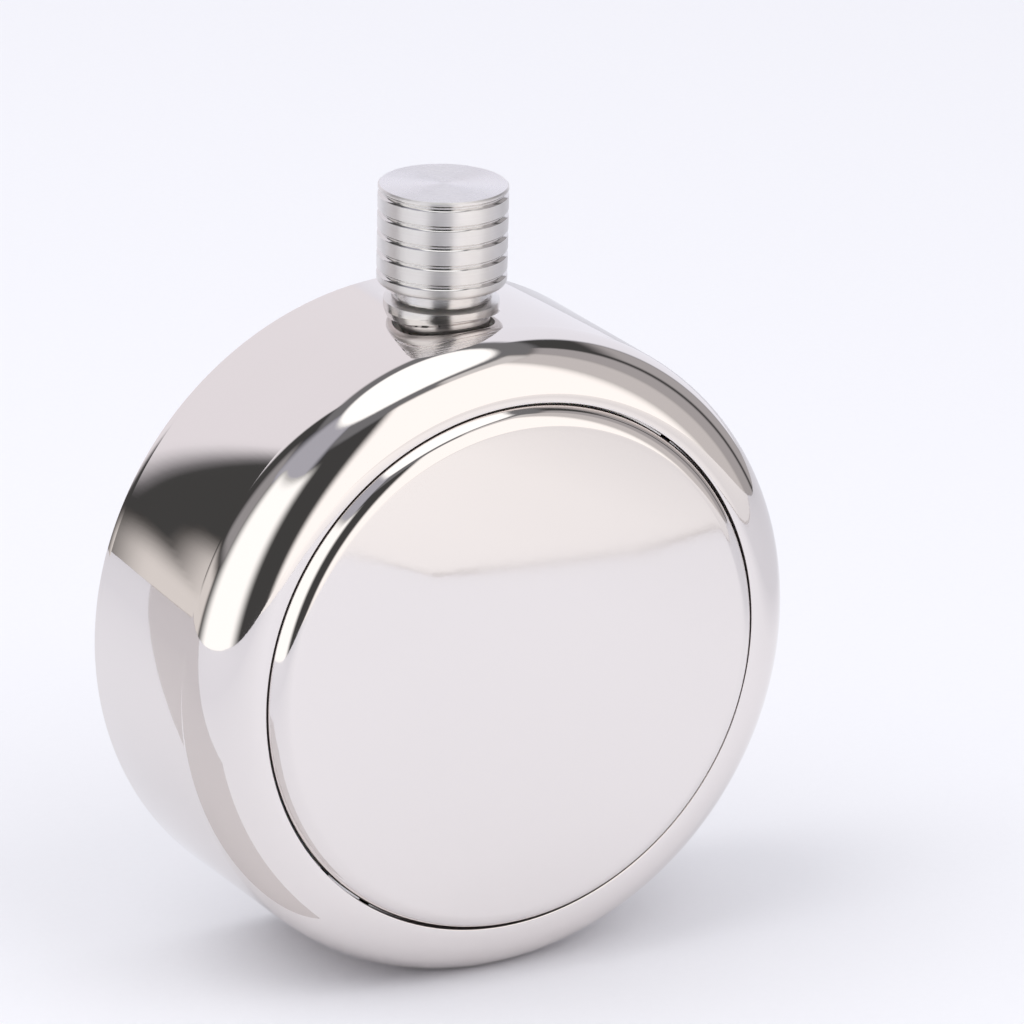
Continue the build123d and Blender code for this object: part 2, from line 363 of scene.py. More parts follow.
def drawn_steel(name, tone=(0.70, 0.69, 0.69)):
    """Deep-drawn sheet, satin: fine circular lines and a soft grain in its haze."""
    steel = Finish(name)
    axes = steel.node("ShaderNodeSeparateXYZ", {0: steel.place})
    across = axes.outputs["X"]
    rise = steel.sum(axes.outputs["Z"], -axis_height * millimetre)
    reach = steel.sum(
        steel.sum(steel.sum(across, across, "MULTIPLY"), steel.sum(rise, rise, "MULTIPLY")),
        0.5, "POWER",
    )
    rings = steel.node(
        "ShaderNodeTexNoise", {"W": reach, "Scale": 5200, "Detail": 4.0, "Roughness": 0.7},
        noise_dimensions="1D",
    ).outputs[0]
    grain = steel.noise(260, 4, 0.65)
    steel.set(
        Base_Color=steel.tint(grain, [c * 0.94 for c in tone], [c * 1.04 for c in tone]),
        Metallic=1.0,
        Roughness=steel.spread(steel.sum(rings, grain, "MULTIPLY"), 0.1, 0.45, 0.2, 0.36),
    )
    steel.relief(steel.sum(rings, steel.sum(grain, 0.4, "MULTIPLY")), 0.000015, 0.7)
    return steel.material


well_steel = drawn_steel("drawn_steel_well")
well_outer = pocket_radius + well_wall
well_outline = (
    [(0, pocket_floor)]
    + bend(
        (pocket_radius - pocket_corner, pocket_floor + pocket_corner),
        pocket_corner, pocket_corner, -90, 0, 8,
    )
    + bend(
        (pocket_radius + shelf_fillet, well_shelf - shelf_fillet),
        shelf_fillet, shelf_fillet, 180, 90, 5,
    )
    + [(mouth_radius, well_shelf), (mouth_radius, flange_end), (well_outer, flange_end)]
    + bend(
        (pocket_radius - pocket_corner, pocket_floor + pocket_corner),
        pocket_corner + well_wall, pocket_corner + well_wall, 0, -90, 8,
    )
    + [(0, pocket_floor - well_wall)]
)
well_shell = turn_outline(well_outline, 256, closed=False)
bmesh.ops.transform(well_shell, matrix=to_face, verts=well_shell.verts[:])
well = finish_piece(well_shell, "well_pan", well_steel)
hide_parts("cup_well")
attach(well, "flask_body")


# ---------------------------------------------------------------------------
# Mouth ring: a turned steel ring brazed inside the flange, cut with the cup's
# quick four-start thread.
# ---------------------------------------------------------------------------
mouth_bore = 38.1
mouth_ring_back = 16.7
mouth_ring_front = 21.2
cup_thread_lead = 8.0
cup_thread_starts = 4
cup_thread_height = 0.65
cup_thread_base = 0.85
cup_thread_crest = 0.40
mouth_edge_break = 0.1
mouth_thread_start = 17.3
mouth_thread_length = 3.3


def turned_steel(name, lines_per_metre=4200, lay="height", low=0.10, high=0.24, depth=0.000012,
                 tone=(0.74, 0.725, 0.72), stretched=0.85):
    """Steel off the lathe: tool lines round the piece that draw highlights out across them."""
    steel = Finish(name)
    axes = steel.node("ShaderNodeSeparateXYZ", {0: steel.place})
    if lay == "height":
        along = axes.outputs["Z"]
    elif lay == "depth":
        along = axes.outputs["Y"]
    else:
        across, deep = axes.outputs["X"], axes.outputs["Y"]
        along = steel.sum(
            steel.sum(steel.sum(across, across, "MULTIPLY"), steel.sum(deep, deep, "MULTIPLY")),
            0.5, "POWER",
        )
    lines = steel.node(
        "ShaderNodeTexNoise",
        {"W": along, "Scale": lines_per_metre, "Detail": 3.0, "Roughness": 0.7},
        noise_dimensions="1D",
    ).outputs[0]
    wiped = steel.noise(420, 3, 0.6)
    steel.set(
        Base_Color=steel.tint(lines, [c * 0.95 for c in tone], [c * 1.04 for c in tone]),
        Metallic=1.0,
        Roughness=steel.spread(steel.sum(lines, wiped, "MULTIPLY"), 0.1, 0.45, low, high),
    )
    steel.relief(lines, depth, 0.8)
    if lay == "radius":
        local = steel.node(
            "ShaderNodeVectorMath", {0: steel.place, 1: (1, 1, 0)}, operation="MULTIPLY"
        )
        level = steel.node("ShaderNodeVectorMath", {0: local.outputs[0]}, operation="NORMALIZE")
        across_lines = steel.node(
            "ShaderNodeVectorTransform", {0: level.outputs[0]},
            vector_type="VECTOR", convert_from="OBJECT", convert_to="WORLD",
        ).outputs[0]
    else:
        upright = 1.0 if lay == "height" else 0.0
        across_lines = steel.node(
            "ShaderNodeCombineXYZ", {0: 0.0, 1: 1.0 - upright, 2: upright}
        ).outputs[0]
    steel.set(Anisotropic=stretched, Tangent=across_lines)
    return steel.material


def thread(bm, root, height, lead, length, start, turn, base, top, bury=0.3):
    """Adds a helical ridge to a shell; a negative height stands inwards, into a bore."""
    spread = bury * (base - top) / abs(height) / 2
    foot = root - bury if height > 0 else root + bury
    corners = [
        (foot, -base / 2 - spread), (root + height, -top / 2),
        (root + height, top / 2), (foot, base / 2 + spread),
    ]
    ring = [bm.verts.new((radius, 0, start + rise)) for radius, rise in corners]
    ridge = bm.faces.new(ring)
    bmesh.ops.rotate(
        bm, verts=ring, cent=(0, 0, 0), matrix=Matrix.Rotation(radians(turn), 3, "Z")
    )
    swept = 2 * pi * length / lead
    steps = max(12, int(swept / radians(4)))
    edges = ridge.edges[:]
    before = set(bm.verts[:])
    last = bmesh.ops.spin(
        bm, geom=ring + edges, cent=(0, 0, 0), axis=(0, 0, 1), angle=swept,
        dvec=(0, 0, length / steps), steps=steps,
    )["geom_last"]
    bm.faces.new([item for item in last if isinstance(item, bmesh.types.BMVert)])
    added = set(ring) | (set(bm.verts[:]) - before)
    bmesh.ops.recalc_face_normals(bm, faces=[f for f in bm.faces if f.verts[0] in added])


def cup_thread(bm, root, height, start, length, turn):
    """Adds the cup's quick thread, one ridge for each of its starts."""
    for index in range(cup_thread_starts):
        thread(
            bm, root, height, cup_thread_lead, length, start,
            turn + index * 360 / cup_thread_starts, cup_thread_base, cup_thread_crest,
        )


mouth_steel = turned_steel("turned_steel_mouth", lay="depth")
mouth_outline = [
    (mouth_bore, mouth_ring_back), (mouth_bore, mouth_ring_front - mouth_edge_break),
    (mouth_bore + mouth_edge_break, mouth_ring_front), (mouth_radius, mouth_ring_front),
    (mouth_radius, mouth_ring_back),
]
mouth_shell = turn_outline(mouth_outline, 256)
cup_thread(
    mouth_shell, mouth_bore, -cup_thread_height, mouth_thread_start, mouth_thread_length, 0
)
bmesh.ops.transform(mouth_shell, matrix=to_face, verts=mouth_shell.verts[:])
mouth = finish_piece(mouth_shell, "mouth_thread_ring", mouth_steel)
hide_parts("mouth_ring")
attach(mouth, "flask_body")


# ---------------------------------------------------------------------------
# Spout: a turned steel tube welded through the band, with the cap's single-start
# thread and a rounded rim.
# ---------------------------------------------------------------------------
bore_radius = 5.0
neck_radius = 6.1
neck_height = 14.0
neck_root = -1.6
rim_rounding = 0.3
cap_thread_pitch = 2.0
cap_thread_height = 0.7
cap_thread_base = 0.95
cap_thread_crest = 0.45
neck_thread_start = 6.2
neck_thread_length = 6.4

spout_steel = turned_steel("turned_steel_spout", lines_per_metre=5200)
rim_height = neck_height - rim_rounding
spout_outline = (
    [(bore_radius, neck_root), (neck_radius, neck_root)]
    + bend((neck_radius - rim_rounding, rim_height), rim_rounding, rim_rounding, 0, 90, 6)
    + bend((bore_radius + rim_rounding, rim_height), rim_rounding, rim_rounding, 90, 180, 6)
)
spout_shell = turn_outline(spout_outline, 192)
thread(
    spout_shell, neck_radius, cap_thread_height, cap_thread_pitch, neck_thread_length,
    neck_thread_start, 0, cap_thread_base, cap_thread_crest,
)
bmesh.ops.transform(spout_shell, matrix=to_neck, verts=spout_shell.verts[:])
spout = finish_piece(spout_shell, "spout_tube", spout_steel)
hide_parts("neck_spout")
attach(spout, "flask_body")


# ---------------------------------------------------------------------------
# Collar: a turned steel ring round the spout's foot. Its flare is saddled on the
# band and soldered, and a fine groove parts the flare from the upright.
# ---------------------------------------------------------------------------
collar_radius = 7.2
collar_height = 3.6
flare_radius = 8.2
flare_edge = 0.6
flare_height = 1.1
groove_depth = 0.35
groove_width = 0.5
collar_chamfer = 0.3
collar_skirt = -1.2

collar_steel = turned_steel("turned_steel_collar", lines_per_metre=5200, low=0.16, high=0.26)
collar_outline = [
    (neck_radius, collar_skirt), (flare_radius, collar_skirt),
    (flare_radius, flare_edge - 0.08), (flare_radius - 0.1, flare_edge),
    (collar_radius + 0.08, flare_height - 0.04), (collar_radius, flare_height),
    (collar_radius - groove_depth, flare_height),
    (collar_radius - groove_depth, flare_height + groove_width),
    (collar_radius, flare_height + groove_width),
    (collar_radius, collar_height - collar_chamfer),
    (collar_radius - collar_chamfer, collar_height), (neck_radius, collar_height),
]
collar_shell = turn_outline(collar_outline, 192)
for vert in collar_shell.verts:
    if vert.co.z < collar_skirt + 0.01:
        vert.co.z = sqrt(band_radius**2 - vert.co.x**2) - band_radius
bmesh.ops.transform(collar_shell, matrix=to_neck, verts=collar_shell.verts[:])
collar = finish_piece(collar_shell, "neck_collar_ring", collar_steel)
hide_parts("neck_collar")
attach(collar, "flask_body")


# ---------------------------------------------------------------------------
# Cap seal: a disc of white silicone that lies loose in the top of the cap and is
# pressed on the spout's rim.
# ---------------------------------------------------------------------------
cap_bottom = 2.9
cap_top = 17.3
cap_ceiling = 1.3
liner_top = 0.8
liner_bore = 7.1
seal_slack = 0.15
seal_rounding = 0.15
seal_radius = liner_bore - seal_slack
seal_top = cap_top - cap_ceiling - liner_top


def silicone(name):
    """Translucent white silicone with a dusty bloom and faint moulding marks."""
    rubber = Finish(name)
    bloom = rubber.noise(600, 4, 0.6)
    rubber.set(
        Base_Color=rubber.tint(bloom, (0.78, 0.78, 0.76), (0.86, 0.86, 0.84)),
        Roughness=rubber.spread(bloom, 0.3, 0.7, 0.38, 0.55),
        Subsurface_Weight=0.25,
        Subsurface_Scale=0.002,
    )
    rubber.relief(bloom, 0.00002, 0.5)
    return rubber.material


seal_rubber = silicone("white_silicone_cap")
seal_outline = (
    [(0, neck_height)]
    + bend(
        (seal_radius - seal_rounding, neck_height + seal_rounding),
        seal_rounding, seal_rounding, -90, 0, 4,
    )
    + bend(
        (seal_radius - seal_rounding, seal_top - seal_rounding),
        seal_rounding, seal_rounding, 0, 90, 4,
    )
    + [(0, seal_top)]
)
seal_shell = turn_outline(seal_outline, 128, closed=False)
bmesh.ops.transform(seal_shell, matrix=to_neck, verts=seal_shell.verts[:])
seal = finish_piece(seal_shell, "cap_seal_disc", seal_rubber)
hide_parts("cap_gasket")
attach(seal, "cap_seal")


# ---------------------------------------------------------------------------
# Cap shell: turned from steel bar, with five fine grooves for grip, a narrow
# bright chamfer and a satin faced top.
# ---------------------------------------------------------------------------
cap_radius = 9.2
cap_bore = 8.0
cap_chamfer = 0.2
cap_bottom_radius = 0.8
groove_count = 5
groove_pitch = 2.88
first_groove = 0.95
cap_groove_depth = 0.45
cap_groove_width = 0.8
groove_floor = 0.07
groove_brink = 0.04

cap_steel = turned_steel(
    "turned_steel_cap", lines_per_metre=3600, low=0.32, high=0.44, tone=(0.80, 0.78, 0.77),
)
faced_steel = turned_steel(
    "faced_steel_cap_top", lines_per_metre=4200, lay="radius", low=0.24, high=0.36,
    depth=0.00002, tone=(0.82, 0.80, 0.81),
)
burnished_steel = turned_steel("burnished_steel_grooves", low=0.03, high=0.08, stretched=0.0)
cap_outline = [
    (0, cap_top), (cap_radius - cap_chamfer, cap_top), (cap_radius, cap_top - cap_chamfer),
]
for index in range(groove_count):
    middle = cap_top - first_groove - index * groove_pitch
    cap_outline += [
        (cap_radius, middle + cap_groove_width / 2 + groove_brink),
        (cap_radius - groove_brink, middle + cap_groove_width / 2 - groove_brink / 2),
        (cap_radius - cap_groove_depth, middle + groove_floor),
        (cap_radius - cap_groove_depth, middle - groove_floor),
        (cap_radius - groove_brink, middle - cap_groove_width / 2 + groove_brink / 2),
        (cap_radius, middle - cap_groove_width / 2 - groove_brink),
    ]
cap_outline += bend(
    (cap_radius - cap_bottom_radius, cap_bottom + cap_bottom_radius),
    cap_bottom_radius, cap_bottom_radius, 0, -90, 8,
)[:-1] + [
    (cap_bore, cap_bottom), (cap_bore, cap_top - cap_ceiling), (0, cap_top - cap_ceiling),
]
cap_shell = turn_outline(cap_outline, 256, closed=False)
bmesh.ops.transform(cap_shell, matrix=to_neck, verts=cap_shell.verts[:])
cap = finish_piece(cap_shell, "cap_turning", cap_steel, crease=20)
cap.data.materials.append(faced_steel)
cap.data.materials.append(burnished_steel)
for face in cap.data.polygons:
    reach = hypot(face.center.x, face.center.y) / millimetre
    level = face.center.z / millimetre - band_top
    between = cap_bottom + cap_bottom_radius < level < cap_top - cap_chamfer
    if face.normal.z > 0.99 and level > cap_top - 0.05:
        face.material_index = 1
    elif between and cap_bore + 0.3 < reach < cap_radius - 0.02 and abs(face.normal.z) > 0.3:
        face.material_index = 2
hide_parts("cap_shell")
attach(cap, "cap")


# ---------------------------------------------------------------------------
# Cap liner: a moulded cup of white polymer pressed into the cap, with the cap's
# thread formed inside.
# ---------------------------------------------------------------------------
liner_bottom = 4.4
liner_ceiling = seal_top
liner_thread_start = 5.2
liner_thread_length = 6.0
liner_edge_break = 0.2


def moulded_plastic(name):
    """Matt white polymer with a slight moulding grain."""
    plastic = Finish(name)
    grain = plastic.noise(1500, 3, 0.6)
    flow = plastic.noise(120, 2, 0.5)
    plastic.set(
        Base_Color=plastic.tint(flow, (0.82, 0.82, 0.79), (0.88, 0.88, 0.86)),
        Roughness=plastic.spread(grain, 0.3, 0.7, 0.4, 0.52),
        Subsurface_Weight=0.08,
        Subsurface_Scale=0.001,
    )
    plastic.relief(grain, 0.00001, 0.6)
    return plastic.material


liner_plastic = moulded_plastic("white_polymer_liner")
liner_outline = [
    (0, liner_ceiling), (liner_bore, liner_ceiling), (liner_bore, liner_bottom + liner_edge_break),
    (liner_bore + liner_edge_break, liner_bottom), (cap_bore, liner_bottom),
    (cap_bore, liner_ceiling + liner_top), (0, liner_ceiling + liner_top),
]
liner_shell = turn_outline(liner_outline, 192, closed=False)
thread(
    liner_shell, liner_bore, -cap_thread_height, cap_thread_pitch, liner_thread_length,
    liner_thread_start, 0, cap_thread_base, cap_thread_crest,
)
bmesh.ops.transform(liner_shell, matrix=to_neck, verts=liner_shell.verts[:])
liner = finish_piece(liner_shell, "cap_lining", liner_plastic)
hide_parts("cap_liner")
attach(liner, "cap")


# ---------------------------------------------------------------------------
# Cup cover: a spun disc with a shallow dome and a rolled-over edge that stands in
# the front shell's lip. Behind it a skirt carries the cup's thread.
# ---------------------------------------------------------------------------
cover_wall = 0.9
seam_gap = 0.3
cover_sink = 0.7
cover_radius = mouth_radius - seam_gap
cover_rim_back = crest - cover_sink
cover_edge_land = 0.6
cover_flank = radians(62.0)
cover_flank_height = 0.73
cover_edge_radius = 2.7
cover_dome_radius = 540.0
skirt_radius = 37.15
skirt_bore = 36.35
skirt_end = 17.2
skirt_thread_start = 17.75
skirt_thread_length = 2.7
ridge_offset = 1.0
skirt_turn = 360 * (skirt_thread_start - mouth_thread_start - ridge_offset) / cup_thread_lead
skirt_edge_break = 0.1
rim_edge_break = 0.05
land_rounding = 0.12

edge_base = cover_rim_back + cover_edge_land
flank_top = (cover_radius - cover_flank_height / tan(cover_flank), edge_base + cover_flank_height)
edge_centre_radius = flank_top[0] - cover_edge_radius * sin(cover_flank)
edge_centre = (edge_centre_radius, flank_top[1] - cover_edge_radius * cos(cover_flank))
edge_slope = asin(edge_centre_radius / (cover_dome_radius - cover_edge_radius))
dome_edge = (
    edge_centre[0] + cover_edge_radius * sin(edge_slope),
    edge_centre[1] + cover_edge_radius * cos(edge_slope),
)
dome_centre = (0, dome_edge[1] - cover_dome_radius * cos(edge_slope))
inner_corner = skirt_bore - cover_wall
cover_outline = (
    bend(dome_centre, cover_dome_radius, cover_dome_radius, 90, 90 - degrees(edge_slope), 48)
    + bend(
        edge_centre, cover_edge_radius, cover_edge_radius,
        90 - degrees(edge_slope), 90 - degrees(cover_flank), 28,
    )[1:]
    + bend(
        (cover_radius - land_rounding, edge_base), land_rounding, land_rounding,
        90 - degrees(cover_flank), 0, 3,
    )
    + [
        (cover_radius, cover_rim_back + rim_edge_break),
        (cover_radius - rim_edge_break, cover_rim_back),
        (skirt_radius, cover_rim_back), (skirt_radius, skirt_end + skirt_edge_break),
        (skirt_radius - skirt_edge_break, skirt_end), (skirt_bore + skirt_edge_break, skirt_end),
        (skirt_bore, skirt_end + skirt_edge_break), (skirt_bore, cover_rim_back + 0.6),
        (inner_corner, cover_rim_back + 1.6), (0, cover_rim_back + 3.0),
    ]
)
cover_shell = turn_outline(cover_outline, body_steps, closed=False)
cup_thread(
    cover_shell, skirt_radius, cup_thread_height, skirt_thread_start, skirt_thread_length,
    skirt_turn,
)
bmesh.ops.transform(cover_shell, matrix=to_face, verts=cover_shell.verts[:])
spun_steel = polished_steel("mirror_steel_cover", ripple=0.03, haze=0.06)
cover = finish_piece(cover_shell, "cover_spinning", spun_steel, crease=25)
# Painted shade: the cover's rim wall inside the seam gap is painted dark.
paint_seam_shade(cover, cover_radius, cover_rim_back, edge_base)
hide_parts("cup_cover")
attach(cover, "cup")


# ---------------------------------------------------------------------------
# Cover seal: a flat ring of the same silicone behind the cover's rim. It lands on
# the mouth ring when the cup is screwed home.
# ---------------------------------------------------------------------------
ring_rubber = silicone("white_silicone_ring")
ring_slack = 0.1
ring_round = 0.1
ring_inner = skirt_radius + ring_slack
ring_outline = []
for middle, height, start in (
    (cover_radius - ring_round, cover_rim_back - ring_round, 90),
    (cover_radius - ring_round, mouth_ring_front + ring_round, 0),
    (ring_inner + ring_round, mouth_ring_front + ring_round, -90),
    (ring_inner + ring_round, cover_rim_back - ring_round, 180),
):
    ring_outline += bend((middle, height), ring_round, ring_round, start, start - 90, 3)
ring_shell = turn_outline(ring_outline, 256)
bmesh.ops.transform(ring_shell, matrix=to_face, verts=ring_shell.verts[:])
ring_seal = finish_piece(ring_shell, "cover_seal_ring", ring_rubber)
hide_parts("cover_gasket")
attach(ring_seal, "cover_seal")


# ---------------------------------------------------------------------------
# Cup floor: a disc of drawn steel pressed into the skirt. It is the bottom of the
# drinking cup.
# ---------------------------------------------------------------------------
floor_inset = 2.0
floor_wall = 0.8
floor_edge_break = 0.1
floor_front = cover_rim_back - floor_inset
floor_back = floor_front - floor_wall
floor_outline = [
    (0, floor_back), (20, floor_back), (skirt_bore - floor_edge_break, floor_back),
    (skirt_bore, floor_back + floor_edge_break), (skirt_bore, floor_front), (0, floor_front),
]
floor_shell = turn_outline(floor_outline, 256, closed=False)
bmesh.ops.transform(floor_shell, matrix=to_face, verts=floor_shell.verts[:])
cup_steel = drawn_steel("drawn_steel_cup")
cup_base = finish_piece(floor_shell, "cup_base_disc", cup_steel)
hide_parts("cup_floor")
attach(cup_base, "cup")


# ---------------------------------------------------------------------------
# Cup rings: four nested cones of drawn steel that telescope into the drinking cup.
# The first is fixed to the floor, and the last ends in a rolled rim.
# ---------------------------------------------------------------------------
ring_wall = 0.5
ring_taper = 1.6
ring_height = 13.0
ring_end = floor_back - ring_height
ring_feet = (20.7, 22.7, 24.7, 26.7)
ring_bodies = ("cup", "second_ring", "third_ring", "rim_ring")
bead_radius = 0.6

for number, (foot, body) in enumerate(zip(ring_feet, ring_bodies), start=1):
    lip = foot + ring_taper
    cone_outline = [(foot - ring_wall, floor_back), (foot, floor_back)]
    if number < len(ring_feet):
        half_wall = ring_wall / 2
        cone_outline += bend(
            (lip - half_wall, ring_end + half_wall), half_wall, half_wall, 0, -180, 8
        )
    else:
        cone_outline += bend(
            (lip - ring_wall + bead_radius, ring_end + bead_radius), bead_radius, bead_radius,
            115, -180, 24,
        )
    cone_shell = turn_outline(cone_outline, 256)
    bmesh.ops.transform(cone_shell, matrix=to_face, verts=cone_shell.verts[:])
    cone = finish_piece(cone_shell, f"cup_cone_{number}", drawn_steel(f"drawn_steel_cone_{number}"))
    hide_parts(f"cup_ring_{number}")
    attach(cone, body)


# ---------------------------------------------------------------------------
# Table: a wide sheet of matt white board. It is lit evenly and keeps a soft
# shadow under the flask.
# ---------------------------------------------------------------------------
board = Finish("matt_white_board")
tooth = board.noise(900, 3, 0.6)
board.set(
    Base_Color=board.tint(tooth, (0.83, 0.83, 0.86), (0.85, 0.85, 0.88)),
    Roughness=board.spread(tooth, 0.3, 0.7, 0.85, 0.95),
    Specular_IOR_Level=0.1,
)
board.relief(tooth, 0.00001, 0.4)
table_mesh = bmesh.new()
bmesh.ops.create_grid(table_mesh, x_segments=4, y_segments=4, size=6000)
table = finish_piece(table_mesh, "table_board", board.material)


# ---------------------------------------------------------------------------
# Second sheet: it lies in front of the flask, past the bottom of the view. The
# domed face mirrors its brighter paper, which is painted light, and the thin
# shadow along its edge, which is a painted shadow strip.
# ---------------------------------------------------------------------------
sheet_edge = (
    (1400, -180), (480, -186), (130, -191), (76, -214), (46, -300), (-37, -445),
    (-218, -665), (-700, -1130),
)
edge_shadow = 3.2
sheet_far = -1600
sheet_level = 0.3
shadow_level = 0.4


def glow_paper(name, colour, far_colour):
    """Paper drawn as glowing colour, a little more the further off it lies: painted light for lit
    paper, and with dark colours a painted shadow.
    """
    paper = bpy.data.materials.new(name)
    paper.use_nodes = True
    nodes, links = paper.node_tree.nodes, paper.node_tree.links
    nodes.clear()
    out = nodes.new("ShaderNodeOutputMaterial")
    glow = nodes.new("ShaderNodeEmission")
    place = nodes.new("ShaderNodeTexCoord")
    axes = nodes.new("ShaderNodeSeparateXYZ")
    share = nodes.new("ShaderNodeMapRange")
    blend = nodes.new("ShaderNodeMix")
    blend.data_type = "RGBA"
    share.inputs["From Min"].default_value = -0.2
    share.inputs["From Max"].default_value = -0.6
    blend.inputs[6].default_value = (*colour, 1)
    blend.inputs[7].default_value = (*far_colour, 1)
    links.new(place.outputs["Object"], axes.inputs[0])
    links.new(axes.outputs["Y"], share.inputs["Value"])
    links.new(share.outputs[0], blend.inputs[0])
    links.new(blend.outputs[2], glow.inputs["Color"])
    links.new(glow.outputs[0], out.inputs["Surface"])
    return paper


def seen_in_steel_only(*things):
    """Stage pieces that only reflections meet."""
    for thing in things:
        thing.visible_camera = False
        thing.visible_diffuse = False
        thing.visible_transmission = False
        thing.visible_volume_scatter = False
        thing.visible_shadow = False


sheet_mesh = bmesh.new()
corners = [(x, y, sheet_level) for x, y in sheet_edge + ((-700, sheet_far), (1400, sheet_far))]
sheet_mesh.faces.new([sheet_mesh.verts.new(corner) for corner in corners])
bmesh.ops.triangulate(sheet_mesh, faces=sheet_mesh.faces[:])
# Painted light: the far paper glows instead of being lit.
sheet = finish_piece(
    sheet_mesh, "second_sheet", glow_paper("far_paper_painted_light", (1.04, 1.02, 1.04), (1.24, 1.20, 1.18))
)
shadow_mesh = bmesh.new()
near = [shadow_mesh.verts.new((x, y + edge_shadow / 2, shadow_level)) for x, y in sheet_edge]
far = [shadow_mesh.verts.new((x, y - edge_shadow / 2, shadow_level)) for x, y in sheet_edge]
for index in range(len(sheet_edge) - 1):
    shadow_mesh.faces.new((near[index], far[index], far[index + 1], near[index + 1]))
# Painted shadow: a dark glowing strip along the paper's edge.
painted_edge_shadow = finish_piece(
    shadow_mesh, "sheet_edge_shadow",
    glow_paper("edge_shadow", (0.62, 0.58, 0.58), (0.80, 0.77, 0.77)),
)


# ---------------------------------------------------------------------------
# Shade films: clear films a hair above the table, one over all of it and one to the
# left and behind. They dim the board as the steel sees it, where less light falls.
# ---------------------------------------------------------------------------
film_level = 1.2
grey_level = 2.0
film_corners = ((-1400, 1400), (-1400, -1600), (1400, -1600), (1400, 1400))
grey_corners = ((-30, -23), (-222, 269), (-495, 677), (-700, 330), (-95, -40))
film_mesh = bmesh.new()
film_mesh.faces.new([film_mesh.verts.new((x, y, film_level)) for x, y in film_corners])
grey_mesh = bmesh.new()
grey_mesh.faces.new([grey_mesh.verts.new((x, y, grey_level)) for x, y in grey_corners])


def shade_film(name, stops):
    """A film that dims what the steel sees through it, by its place from left to right."""
    film = bpy.data.materials.new(name)
    film.use_nodes = True
    nodes, links = film.node_tree.nodes, film.node_tree.links
    nodes.clear()
    out = nodes.new("ShaderNodeOutputMaterial")
    clear = nodes.new("ShaderNodeBsdfTransparent")
    place = nodes.new("ShaderNodeTexCoord")
    axes = nodes.new("ShaderNodeSeparateXYZ")
    share = nodes.new("ShaderNodeMapRange")
    ramp = nodes.new("ShaderNodeValToRGB")
    share.inputs["From Min"].default_value = -0.5
    share.inputs["From Max"].default_value = 0.5
    while len(ramp.color_ramp.elements) < len(stops):
        ramp.color_ramp.elements.new(0.5)
    for element, (where, colour) in zip(ramp.color_ramp.elements, stops):
        element.position = where + 0.5
        element.color = (*colour, 1)
    links.new(place.outputs["Object"], axes.inputs[0])
    links.new(axes.outputs["X"], share.inputs["Value"])
    links.new(share.outputs[0], ramp.inputs[0])
    links.new(ramp.outputs[0], clear.inputs["Color"])
    links.new(clear.outputs[0], out.inputs["Surface"])
    return film


film = finish_piece(film_mesh, "shade_film", shade_film("falling_light", (
    (-0.20, (0.86, 0.86, 0.87)), (-0.06, (0.95, 0.95, 0.95)), (0.0, (1.0, 1.0, 1.0)),
    (0.10, (1.0, 1.0, 1.0)), (0.145, (0.97, 0.97, 0.97)), (0.20, (0.82, 0.82, 0.83)),
)))
grey_film = finish_piece(
    grey_mesh, "grey_film", shade_film("grey_corner", ((0.0, (0.80, 0.77, 0.75)),))
)
seen_in_steel_only(sheet, painted_edge_shadow, film, grey_film)


# ---------------------------------------------------------------------------
# Studio tent: paper cards hung all round the flask and a lit ceiling. They are
# seen only in the steel, which takes its bright and dark shapes from them.
# ---------------------------------------------------------------------------
tent_radius = 800.0
dark_gap = 0.06
ceiling_edge = 66.5
ceiling_glow = 1.30
tent_foot = -6
tent_rows = 97


def ramp(value, edge, softness):
    """Eased step from 0 to 1 across an edge."""
    share = min(max((value - edge) / softness + 0.5, 0), 1)
    return share * share * (3 - 2 * share)


def span(value, low, high, low_soft, high_soft):
    """Share of a card at a value: 1 between its two soft edges, 0 outside them."""
    return ramp(value, low, low_soft) * ramp(-value, -high, high_soft)


# Each card: turn round the flask from, to and the softness of both ends, height
# from, to and softness of both edges, all in degrees, then its colour.
tent_cards = (
    ((-112, -52, 20, 20), (-14, 47, 4, 8), (1.26, 1.26, 1.25)),
    ((-126, -58, 26, 16), (40, 67, 6, 4), (0.46, 0.46, 0.52)),
    ((-12, 51, 12, 18), (-14, 58, 4, 5), (1.25, 1.21, 1.19)),
    ((45, 76, 14, 14), (-14, 57, 4, 5), (0.64, 0.61, 0.61)),
    ((60, 93, 14, 6), (-14, 57, 4, 6), (0.42, 0.40, 0.41)),
    ((98, 118, 6, 6), (-14, 37, 4, 14), (0.43, 0.41, 0.42)),
    ((118, 165, 6, 20), (-14, 58, 4, 6), (0.92, 0.92, 1.00)),
    ((150, 204, 20, 5), (-14, 57, 4, 6), (0.90, 0.87, 0.92)),
    ((150, 209, 20, 5), (8, 57, 8, 6), (0.90, 0.87, 0.92)),
    ((205, 240, 8, 8), (-14, -6, 4, 6), (0.82, 0.77, 0.75)),
    ((212, 240, 8, 8), (-14, 4, 4, 8), (0.80, 0.76, 0.74)),
    ((219, 240, 8, 8), (-14, 12, 4, 8), (0.78, 0.74, 0.72)),
    ((224, 246, 14, 10), (16, 48, 8, 10), (0.34, 0.33, 0.34)),
    ((14, 70, 12, 16), (55, 63, 3, 3), (0.70, 0.68, 0.68)),
    ((-180, 260, 8, 8), (55, 68, 6, 3), (0.19, 0.19, 0.20)),
)


def card_light(turn, rise):
    """Colour of the tent in a direction, the brightest card winning."""
    light = [dark_gap, dark_gap, dark_gap]
    for around, upright, colour in tent_cards:
        share = max(span(turn + shift, *around) for shift in (-360, 0, 360))
        share *= span(rise, *upright)
        light = [max(now, share * part) for now, part in zip(light, colour)]
    overhead = ramp(rise, ceiling_edge, 3)
    return [now * (1 - overhead) + ceiling_glow * overhead for now in light]


